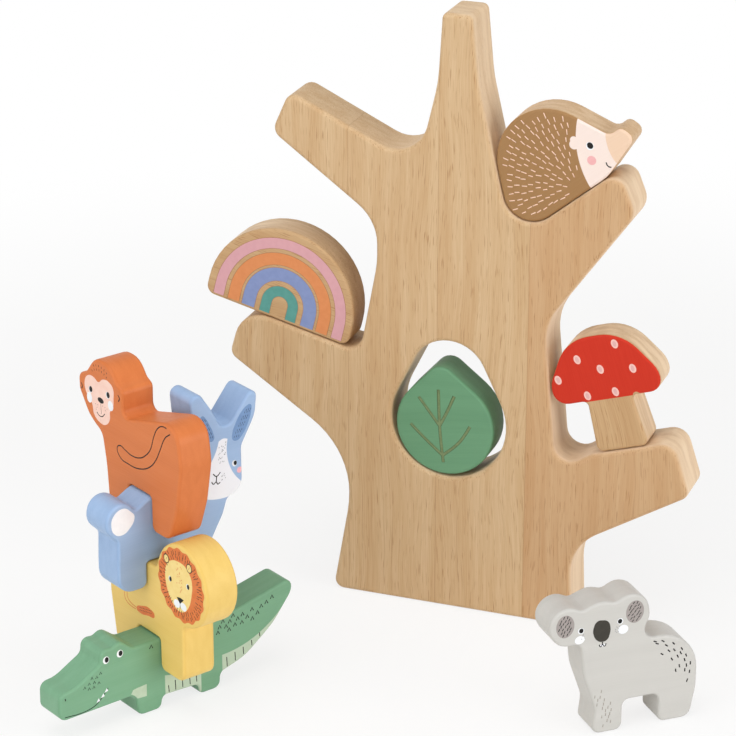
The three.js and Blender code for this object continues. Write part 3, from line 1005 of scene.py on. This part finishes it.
# %% Alligator
JAW = [(-52.4, 11), (-43.2, 10.6), (-38, 11.9), (-34.2, 15.1), (-32.2, 17.5)]
TOOTH = ((-0.8, -0.7), (0.8, -0.3), (0.3, 1))
TEETH = ((-37, 13.4), (-34.8, 14.8), (-33.1, 16.6))
FOREARM = [(-21.6, 11), (-20.6, 12.6), (-18.8, 12.9), (-14.2, 13.2), (-14.3, 7.9), (-18.6, 8.2), (-20, 9.9)]
RIBS = ((-3.6, 6.2, 9.2), (-0.4, 6.2, 10.6), (3.0, 6.2, 10.8), (6.6, 6.2, 10.2), (9.8, 6.4, 9.2))
TAIL_RIBS = (
    (24.8, 8.3, 12.6), (28.9, 9.7, 13.6), (33.0, 11.3, 14.6), (37.2, 13.9, 16.3), (41.2, 16.7, 18.5),
)
RIB_LEAN = 0.2
SCALE = ((-1, -1), (0, 1), (0.9, -1))
SCALE_SIZE = 0.8
FRECKLE_SIZE = 0.55
SCALES = (
    (-11.5, 28.9), (20.6, 24.9), (21.5, 27.1), (23.1, 29.2), (24.6, 26.5), (26.1, 24.6), (26.5, 28.2),
    (29, 26), (28.1, 30.3), (30.4, 28.2), (32.4, 25.9), (32.8, 29.4), (35.1, 27.6), (37.6, 26), (37.5, 30.2),
    (40.2, 27.9), (42.1, 30.2), (44.7, 31.2), (47.5, 32.7),
)
FRECKLES = (
    (-42.9, 20.9), (-40.8, 19.9), (-38.7, 19.9), (-40.8, 22), (-38.4, 21.9), (-36.3, 21.1), (-39.4, 24),
    (-37.2, 23.8), (-35.4, 25),
)
NOSTRIL = (-51.9, 18.7, 1.1, 100)
ALLIGATOR_EYES = ((-32.7, 29.8, 2.9, 3.2), (-26.2, 30.6, 2.9, 3.2))
ALLIGATOR_PUPILS = ((-32.4, 29.9, 1.8, 2.4), (-25.9, 30.7, 1.8, 2.4))
mix_ink("dark_green", "263E2F", "304A39")
mix_ink("pale_green", "BCCDB5", "B0C3A9")


def drawn_at(spots, shape, size=1):
    """The same small shape at each spot."""
    return [[(across + size * x, up + size * y) for x, y in shape] for across, up in spots]


draw("alligator", "dark_green", [JAW], width=0.42, smooth=True)
draw("alligator", "black", drawn_at(SCALES, SCALE, SCALE_SIZE), width=0.46)
ribs = [[(across, low), (across - RIB_LEAN, high)] for across, low, high in (*RIBS, *TAIL_RIBS)]
draw("alligator", "black", ribs, width=0.4)
draw("alligator", "dark_green", drawn_at(FRECKLES, SCALE, FRECKLE_SIZE), width=0.36)
draw("alligator", "dark_green", [dash(*NOSTRIL)], width=0.5)
stamp("alligator", "pale_green", [FOREARM], smooth=False)
stamp("alligator", "white", drawn_at(TEETH, TOOTH), layer=2, smooth=False)
stamp_eyes("alligator", ALLIGATOR_EYES, ALLIGATOR_PUPILS)
print("alligator:", len(SCALES), "scales,", len(ribs), "ribs")

# %% [markdown]
# The lion's mane is a ring with a waved edge, printed round the face and then ticked with two rows of short
# dark strokes. The wave is a sine with a whole number of turns, so it closes on itself.

# %% Lion
HEAD = (23.6, 43)
MANE_RADIUS = 15.3
MANE_POINTS = 96
MANE_WAVES = 16
MANE_WAVE = 0.4
MANE_ROWS = ((11.6, 44), (13.5, 52))
TICK_TURN = 2.5
TICK_SHIFT = 0.5
TICK_LENGTH = (1.3, 2.0)
FRECKLE_FOOT = (22.6, 40)
FRECKLE_PITCH = 0.55
FRECKLE_COUNT = 22
FRECKLE_SPREAD = 1.8
FACE = [
    (16.7, 51.2), (13.5, 47.4), (13, 42.8), (14.2, 38), (17.1, 33.9), (20.6, 31.6), (24.8, 32),
    (28.5, 35.4), (30.8, 41.6), (31.3, 46.2), (30.2, 49.5), (27.3, 52.1), (22.7, 52.8),
]
EARS = ((14.1, 51.2), (29.6, 52.7))
EAR_RIM = (3.7, 4.0)
EAR_MIDDLE = (2.9, 3.2)
LION_EYES = ((16.3, 43.3, 1.9, 2.4), (28.3, 44.4, 1.9, 2.4))
LION_PUPILS = ((16.6, 43.3, 1.5, 2.1), (28.6, 44.4, 1.5, 2.1))
MUZZLE_LEFT = (20.6, 34.2, 4.2, 3.4, 8)
MUZZLE_RIGHT = (25, 34.4, 4.2, 3.4, -8)
LION_NOSE = [(20.7, 37.1), (22.9, 37.6), (25.3, 37.4), (22.8, 34.9)]
LION_LIP = [(22.8, 35.2), (22.7, 32.8)]
TAIL = [(-16.8, 24.7), (-16.2, 21.8), (-12.6, 20.2), (-8.7, 20.1)]
TAIL_TOP = [(-14.8, 25.5), (-14.4, 22.9), (-12, 21.5), (-7.1, 20.9)]
TUFT = [(-8.1, 20.6), (-3.8, 23.4), (1.1, 24.2), (4.6, 22.2), (-0.3, 20.5), (-5.7, 19.6)]
TUFT_FOOT = (-5.6, 20.9)
TUFT_STEP = (1.1, 0.22)
TUFT_STEPS = 8
TUFT_ROWS = (0, 1.1)
mix_ink("mane", "DC7B42", "D26F38")
mix_ink("straw", "F3D88E", "EECF80")


def mane_edge():
    turns = [math.tau * step / MANE_POINTS for step in range(MANE_POINTS)]
    reach = [MANE_RADIUS + MANE_WAVE * math.sin(MANE_WAVES * turn) for turn in turns]
    return [around(HEAD, r, math.degrees(t)) for r, t in zip(reach, turns)]


def mane_ticks():
    chance = random.Random(3)
    ticks = []
    for reach, count in MANE_ROWS:
        for place in range(count):
            bearing = 360 * place / count + jitter(chance, TICK_TURN)
            spot = around(HEAD, reach + jitter(chance, TICK_SHIFT), bearing)
            ticks.append(dash(*spot, chance.uniform(*TICK_LENGTH), bearing))
    return ticks


def lion_freckles():
    chance = random.Random(5)
    across, up = FRECKLE_FOOT
    rows = [up + FRECKLE_PITCH * step for step in range(FRECKLE_COUNT)]
    return [dash(across + jitter(chance, FRECKLE_SPREAD), row, length=0.5, bearing=90) for row in rows]


def tuft_ticks():
    across, up = TUFT_FOOT
    spots = [(across + TUFT_STEP[0] * step, up + TUFT_STEP[1] * step) for step in range(TUFT_STEPS)]
    return [dash(x, y + lift, length=0.7, bearing=25) for x, y in spots for lift in TUFT_ROWS]


stamp("lion", "mane", [mane_edge(), FACE])
stamp("lion", "straw", [FACE])
draw("lion", "brown", mane_ticks(), width=0.42, layer=2)
draw("lion", "mane", lion_freckles(), width=0.45, layer=2)
stamp("lion", "brown", [oval(*ear, *EAR_RIM) for ear in EARS], layer=2.5)
stamp("lion", "straw", [oval(*ear, *EAR_MIDDLE) for ear in EARS], layer=3)
draw("lion", "brown", [dash(*ear, length=1.2, bearing=70) for ear in EARS], width=0.35, layer=3.5)
stamp_eyes("lion", LION_EYES, LION_PUPILS, layer=2)
stamp("lion", "white", [oval(*MUZZLE_LEFT)], layer=2)
stamp("lion", "white", [oval(*MUZZLE_RIGHT)], layer=2.3)
stamp("lion", "black", [LION_NOSE], layer=3, smooth=False)
draw("lion", "black", [LION_LIP], width=0.35, layer=3)
draw("lion", "mane", [TAIL, TAIL_TOP], width=0.4, smooth=True)
stamp("lion", "mane", [TUFT])
draw("lion", "brown", tuft_ticks(), width=0.3, layer=2)
print("lion: mane, face and tail")

# %% [markdown]
# Half of the bunny's face hides behind the monkey. A face has two like halves, so the marks of the half that
# shows are mirrored about the line from the chin to between the ears.

# %% Bunny
FACE_LINE = ((26.2, 37), (3.3, 16))
EAR_RIGHT = [
    (43, 65), (41.1, 64.8), (38.1, 62.3), (35.5, 58.4), (34, 54.7), (34.2, 51.9), (36.2, 51.2), (39.1, 53.3),
    (41.8, 57.7), (43.3, 62.4),
]
EAR_LEFT = [
    (19.6, 65.8), (21.5, 64.2), (23.1, 61.2), (24.7, 57.7), (24.9, 54.2), (22.8, 54.2), (20.2, 57.8),
    (18.6, 62),
]
COTTON_TAIL = [
    (-18.2, 37), (-22.7, 35), (-23.9, 31), (-22.3, 27), (-19.2, 25.9), (-15.8, 27.5), (-13.1, 32.2),
    (-14.6, 34.6),
]
BUNNY_MOUTH = [
    [(24.4, 39.8), (26.1, 38.4), (27.9, 39.7)],
    [(26.1, 38.4), (25.8, 36)],
    [(23.6, 36.6), (24.5, 35.4), (25.8, 36), (26.6, 34.9), (27.7, 35.4)],
]
BUNNY_EYE = (34.8, 41.7, 2.3, 2.7, 10)
BUNNY_PUPIL = (35.1, 41.8, 1.5, 2.0, 10)
FOREHEAD = ((27.2, 30.8), (43.5, 52))
LIP = ((28.2, 30.6), (35.4, 38.8))
EAR_LINES = (((36, 53), (42, 63)), ((23.4, 55.8), (19.9, 64)))
EAR_STEPS = 8
EAR_COLUMNS = (-1.1, 0, 1.1)
EAR_STAGGER = 0.4
SPECK_LEAN = 12
mix_ink("slate", "7797C2", "6D8CB8")
mix_ink("grey", "9A9CA3", "8A8C94")


def both(across, up, width, height, lean):
    """The mark of an oval and its mirror image on the other half of the bunny's face."""
    foot = Vector(FACE_LINE[0])
    line = Vector(FACE_LINE[1]).normalized()
    arm = Vector((across, up)) - foot
    other = foot + 2 * arm.dot(line) * line - arm
    return [(across, up, width, height, lean), (*other, width, height, -lean)]


def specks(span, seed, count, length, bearing):
    """Short strokes scattered over a box of the face."""
    chance = random.Random(seed)
    spots = [(chance.uniform(*span[0]), chance.uniform(*span[1])) for _ in range(count)]
    return [dash(*spot, length, bearing + jitter(chance, SPECK_LEAN)) for spot in spots]


stamp("bunny", "white", [COTTON_TAIL])
forehead = specks(FOREHEAD, seed=11, count=26, length=0.5, bearing=80)
whiskers = specks(LIP, seed=14, count=8, length=0.4, bearing=80)
draw("bunny", "grey", forehead + whiskers, width=0.28, layer=2)
stamp_eyes("bunny", both(*BUNNY_EYE), both(*BUNNY_PUPIL), layer=2)
draw("bunny", "black", BUNNY_MOUTH, width=0.45, layer=2, smooth=True)
stamp("bunny", "slate", [EAR_RIGHT, EAR_LEFT])
ear_specks = []
for foot, tip in EAR_LINES:
    line = Vector(tip) - Vector(foot)
    for step in range(EAR_STEPS + 1):
        spot = Vector(foot) + line * step / EAR_STEPS
        for aside in EAR_COLUMNS:
            ear_specks.append(dash(spot.x + aside, spot.y + EAR_STAGGER * (step % 2), length=0.8, bearing=75))
draw("bunny", "black", ear_specks, width=0.26, layer=2)
print("bunny:", len(forehead), "face specks and", len(ear_specks), "ear specks")

# %% [markdown]
# The monkey's face is one heart-shaped print with the cheeks laid over it. Its tail is only a line, which
# runs down its back and round in a long open loop.

# %% Monkey
HEART = [
    (-34.1, 52.3), (-36.7, 49.4), (-36.5, 45.3), (-33.8, 42.6), (-31.9, 40.7), (-30.8, 36.7), (-26.6, 34.4),
    (-22.3, 34.9), (-19.5, 38.2), (-19.2, 41.4), (-17, 44), (-16.4, 47.9), (-16.5, 52), (-19.4, 54),
    (-23.7, 53.7), (-27.2, 51.5), (-30.1, 52.6),
]
MONKEY_TAIL = [
    (20.1, 47.8), (17.5, 47.7), (14.3, 46), (11.4, 41.8), (8.4, 34.8), (4.7, 31), (1.2, 28.9), (-4.5, 27.8),
    (-9.3, 28.6), (-12.8, 29.3), (-15, 27.5), (-13.1, 24.3), (-7.5, 23.3), (0.9, 24.1), (8, 27.5), (12.3, 32),
    (15.3, 37.2), (19, 43.5), (22.4, 46.1),
]
EAR_ARCS = [[(-39.5, 47.3), (-38.8, 46.2), (-39.3, 44.9)], [(-13.2, 50.6), (-12.2, 49.5), (-13, 47.9)]]
WHISKERS = (
    (-29.6, 41.5), (-27.9, 41.6), (-28.5, 40.3), (-24.4, 42.2), (-22.7, 42.1), (-21.2, 42), (-29.1, 39.3),
    (-22.3, 40.9),
)
MONKEY_CHEEKS = ((-33.7, 42.9, 3.6, 4.4), (-18.6, 44.2, 3.6, 4.2))
MONKEY_EYES = ((-32.8, 46.6, 2.5, 2.8), (-20.4, 48.1, 2.5, 2.8))
MONKEY_PUPILS = ((-32.5, 46.8, 2.1, 2.5), (-20.1, 48.3, 2.1, 2.5))
MONKEY_NOSE = (-25.6, 44.2, 4.2, 2.3)
MONKEY_LIP = [(-25.7, 43.4), (-25.5, 38.4)]
MONKEY_SMILE = [(-28.6, 38.3), (-27.3, 37.4), (-25, 37.5), (-23, 39.3)]
FRINGE_CENTRE = (-26, 47.4)
FRINGE_ROWS = ((9.4, range(58, 130, 11)), (11.1, range(62, 114, 10)))
mix_ink("peach", "F6D3C4", "F0C6B6")


def fringe():
    """Short strokes in two arcs over the monkey's forehead."""
    rows = [(reach, turn) for reach, turns in FRINGE_ROWS for turn in turns]
    return [dash(*around(FRINGE_CENTRE, reach, turn), length=0.9, bearing=turn) for reach, turn in rows]


stamp("monkey", "peach", [HEART])
stamp("monkey", "white", ovals(MONKEY_CHEEKS), layer=2)
stamp("monkey", "white", ovals(MONKEY_EYES), layer=1.6)
stamp("monkey", "black", ovals(MONKEY_PUPILS), layer=3)
stamp("monkey", "black", [oval(*MONKEY_NOSE)], layer=2)
draw("monkey", "brown", [MONKEY_LIP], width=0.3, layer=2)
draw("monkey", "black", [MONKEY_SMILE], width=0.55, layer=2, smooth=True)
draw("monkey", "black", EAR_ARCS, width=0.55, smooth=True)
draw("monkey", "brown", fringe(), width=0.28)
whiskers = [dash(*spot, length=0.35, bearing=90) for spot in WHISKERS]
draw("monkey", "brown", whiskers, width=0.3, layer=2)
draw("monkey", "black", [MONKEY_TAIL], width=0.5, smooth=True)
print("monkey: face and tail of", len(MONKEY_TAIL), "points")

# %% [markdown]
# The koala is the plainest animal: a large nose, two small eyes and fur hinted at by rows of dashes, which
# follow the round of its back.

# %% Koala
NOSE = [
    (-20, 49.5), (-21.5, 46.8), (-21.4, 44.1), (-19.9, 41.4), (-17.8, 40.4), (-15.6, 41), (-14.5, 43.3),
    (-14.4, 46.7), (-15.5, 48.9), (-17.6, 49.7),
]
MOUTH = [
    [(-17.5, 40.3), (-17.5, 39.2)],
    [(-18.9, 39.3), (-18.2, 38.4), (-17.5, 39.2), (-16.6, 38.4), (-15.9, 39.4)],
]
KOALA_EARS = ((-33.5, 49.7, 68), (-4, 51, 52))
EAR_PATCH = (7.6, 9.6)
FUR_PITCH = (1.6, 1.25)
FUR_REACH = (3.1, 4.1)
FUR_ROWS = range(-3, 4)
FUR_PLACES = range(-2, 3)
FUR_SHIFT = 0.25
FUR_LEAN = 14
KOALA_EYES = ((-26.8, 46.7, 2.5, 2.6), (-10.2, 48, 2.5, 2.6))
KOALA_PUPILS = ((-26.7, 46.8, 1.8, 2.0), (-10.3, 48, 1.8, 2.0))
KOALA_CHEEKS = ((-27.2, 42.9, 4.2, 3.4, 12), (-8.8, 44.2, 4.3, 3.8))
KOALA_LIP = (-17.4, 38.9, 2.4, 1.0)
CHEEK_SPANS = (((-26.6, -24.4), (43, 45)), ((-12.2, -10.4), (43.4, 46)))
CHEEK_SEED = 31
BACK_CENTRE = (4, 16)
BACK_LEAN = 110
RUMP = (
    (5.2, 36.3), (6.1, 35.2), (8.6, 35.9), (8.4, 30.2), (10.2, 33.7), (13.3, 34), (11.4, 31.1), (13.7, 31.1),
    (17, 31), (12.8, 27.2), (15.3, 28), (16.6, 29.3), (19, 27.8), (18.4, 25.9), (21, 24), (16.2, 23.6),
    (19.3, 23.3), (14.7, 21.9), (18.7, 21.4), (20.8, 20.3), (19.9, 16.5),
)
FOREARM_FUR = (
    (-17.3, 18.6), (-20, 16.7), (-17.7, 16.1), (-18.7, 15), (-19, 13), (-15.9, 14.6), (-13.2, 12.6),
    (-16.2, 12.8), (-15.2, 9.8), (-14.2, 11.1), (-12.8, 9.7), (-16.6, 11), (-15.1, 8.1), (-13.3, 8.1),
    (-16.7, 7.3), (-13.8, 6.8), (-14.4, 5.2), (-12.9, 4.6), (-16.1, 3.2),
)
mix_ink("nose", "35322C", "3F3B34")
mix_ink("mauve", "A29A96", "98908D")
mix_ink("taupe", "A39C92", "968F86")


def along_back(across, up):
    bearing = math.degrees(math.atan2(up - BACK_CENTRE[1], across - BACK_CENTRE[0]))
    return dash(across, up, length=1.5, bearing=bearing - BACK_LEAN)


def ear_fur(across, up, bearing):
    """Rows of dashes inside an ear, each row shifted by half a step and a little out of line."""
    chance = random.Random(21)
    strokes = []
    for row in FUR_ROWS:
        for place in FUR_PLACES:
            aside = FUR_PITCH[0] * (place + row % 2 / 2) + jitter(chance, FUR_SHIFT)
            above = FUR_PITCH[1] * row + jitter(chance, FUR_SHIFT)
            if (aside / FUR_REACH[0]) ** 2 + (above / FUR_REACH[1]) ** 2 < 1:
                lean = bearing + jitter(chance, FUR_LEAN)
                strokes.append(dash(across + aside, up + above, length=1.2, bearing=lean))
    return strokes


ears = [stroke for ear in KOALA_EARS for stroke in ear_fur(*ear)]
stamp("koala", "nose", [NOSE])
stamp_eyes("koala", KOALA_EYES, KOALA_PUPILS)
stamp("koala", "white", ovals(KOALA_CHEEKS))
freckles = []
for seed, span in enumerate(CHEEK_SPANS, CHEEK_SEED):
    freckles += specks(span, seed, count=8, length=0.3, bearing=90)
draw("koala", "grey", freckles, width=0.3, layer=2)
stamp("koala", "white", [oval(*KOALA_LIP)])
draw("koala", "black", MOUTH, width=0.5, layer=2, smooth=True)
stamp("koala", "mauve", [oval(across, up, *EAR_PATCH) for across, up, _ in KOALA_EARS])
draw("koala", "black", ears, width=0.48, layer=2)
draw("koala", "black", [along_back(*spot) for spot in RUMP], width=0.55)
draw("koala", "taupe", [dash(*spot, length=1.3, bearing=85) for spot in FOREARM_FUR], width=0.36)
print("koala:", len(RUMP), "dashes on the back and", len(ears), "in the ears")

# %% [markdown]
# The films of one ink on one board are joined into one piece that rides with the board, so that a face comes
# away with its animal.

# %% Join the prints
for (node, colour), films in prints.items():
    select_only(*films)
    if len(films) > 1:
        bpy.ops.object.join()
    films[0].name = f"{node}_print_{colour}"
    films[0].data.name = films[0].name
    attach(films[0], node)
print(len(prints), "printed pieces")
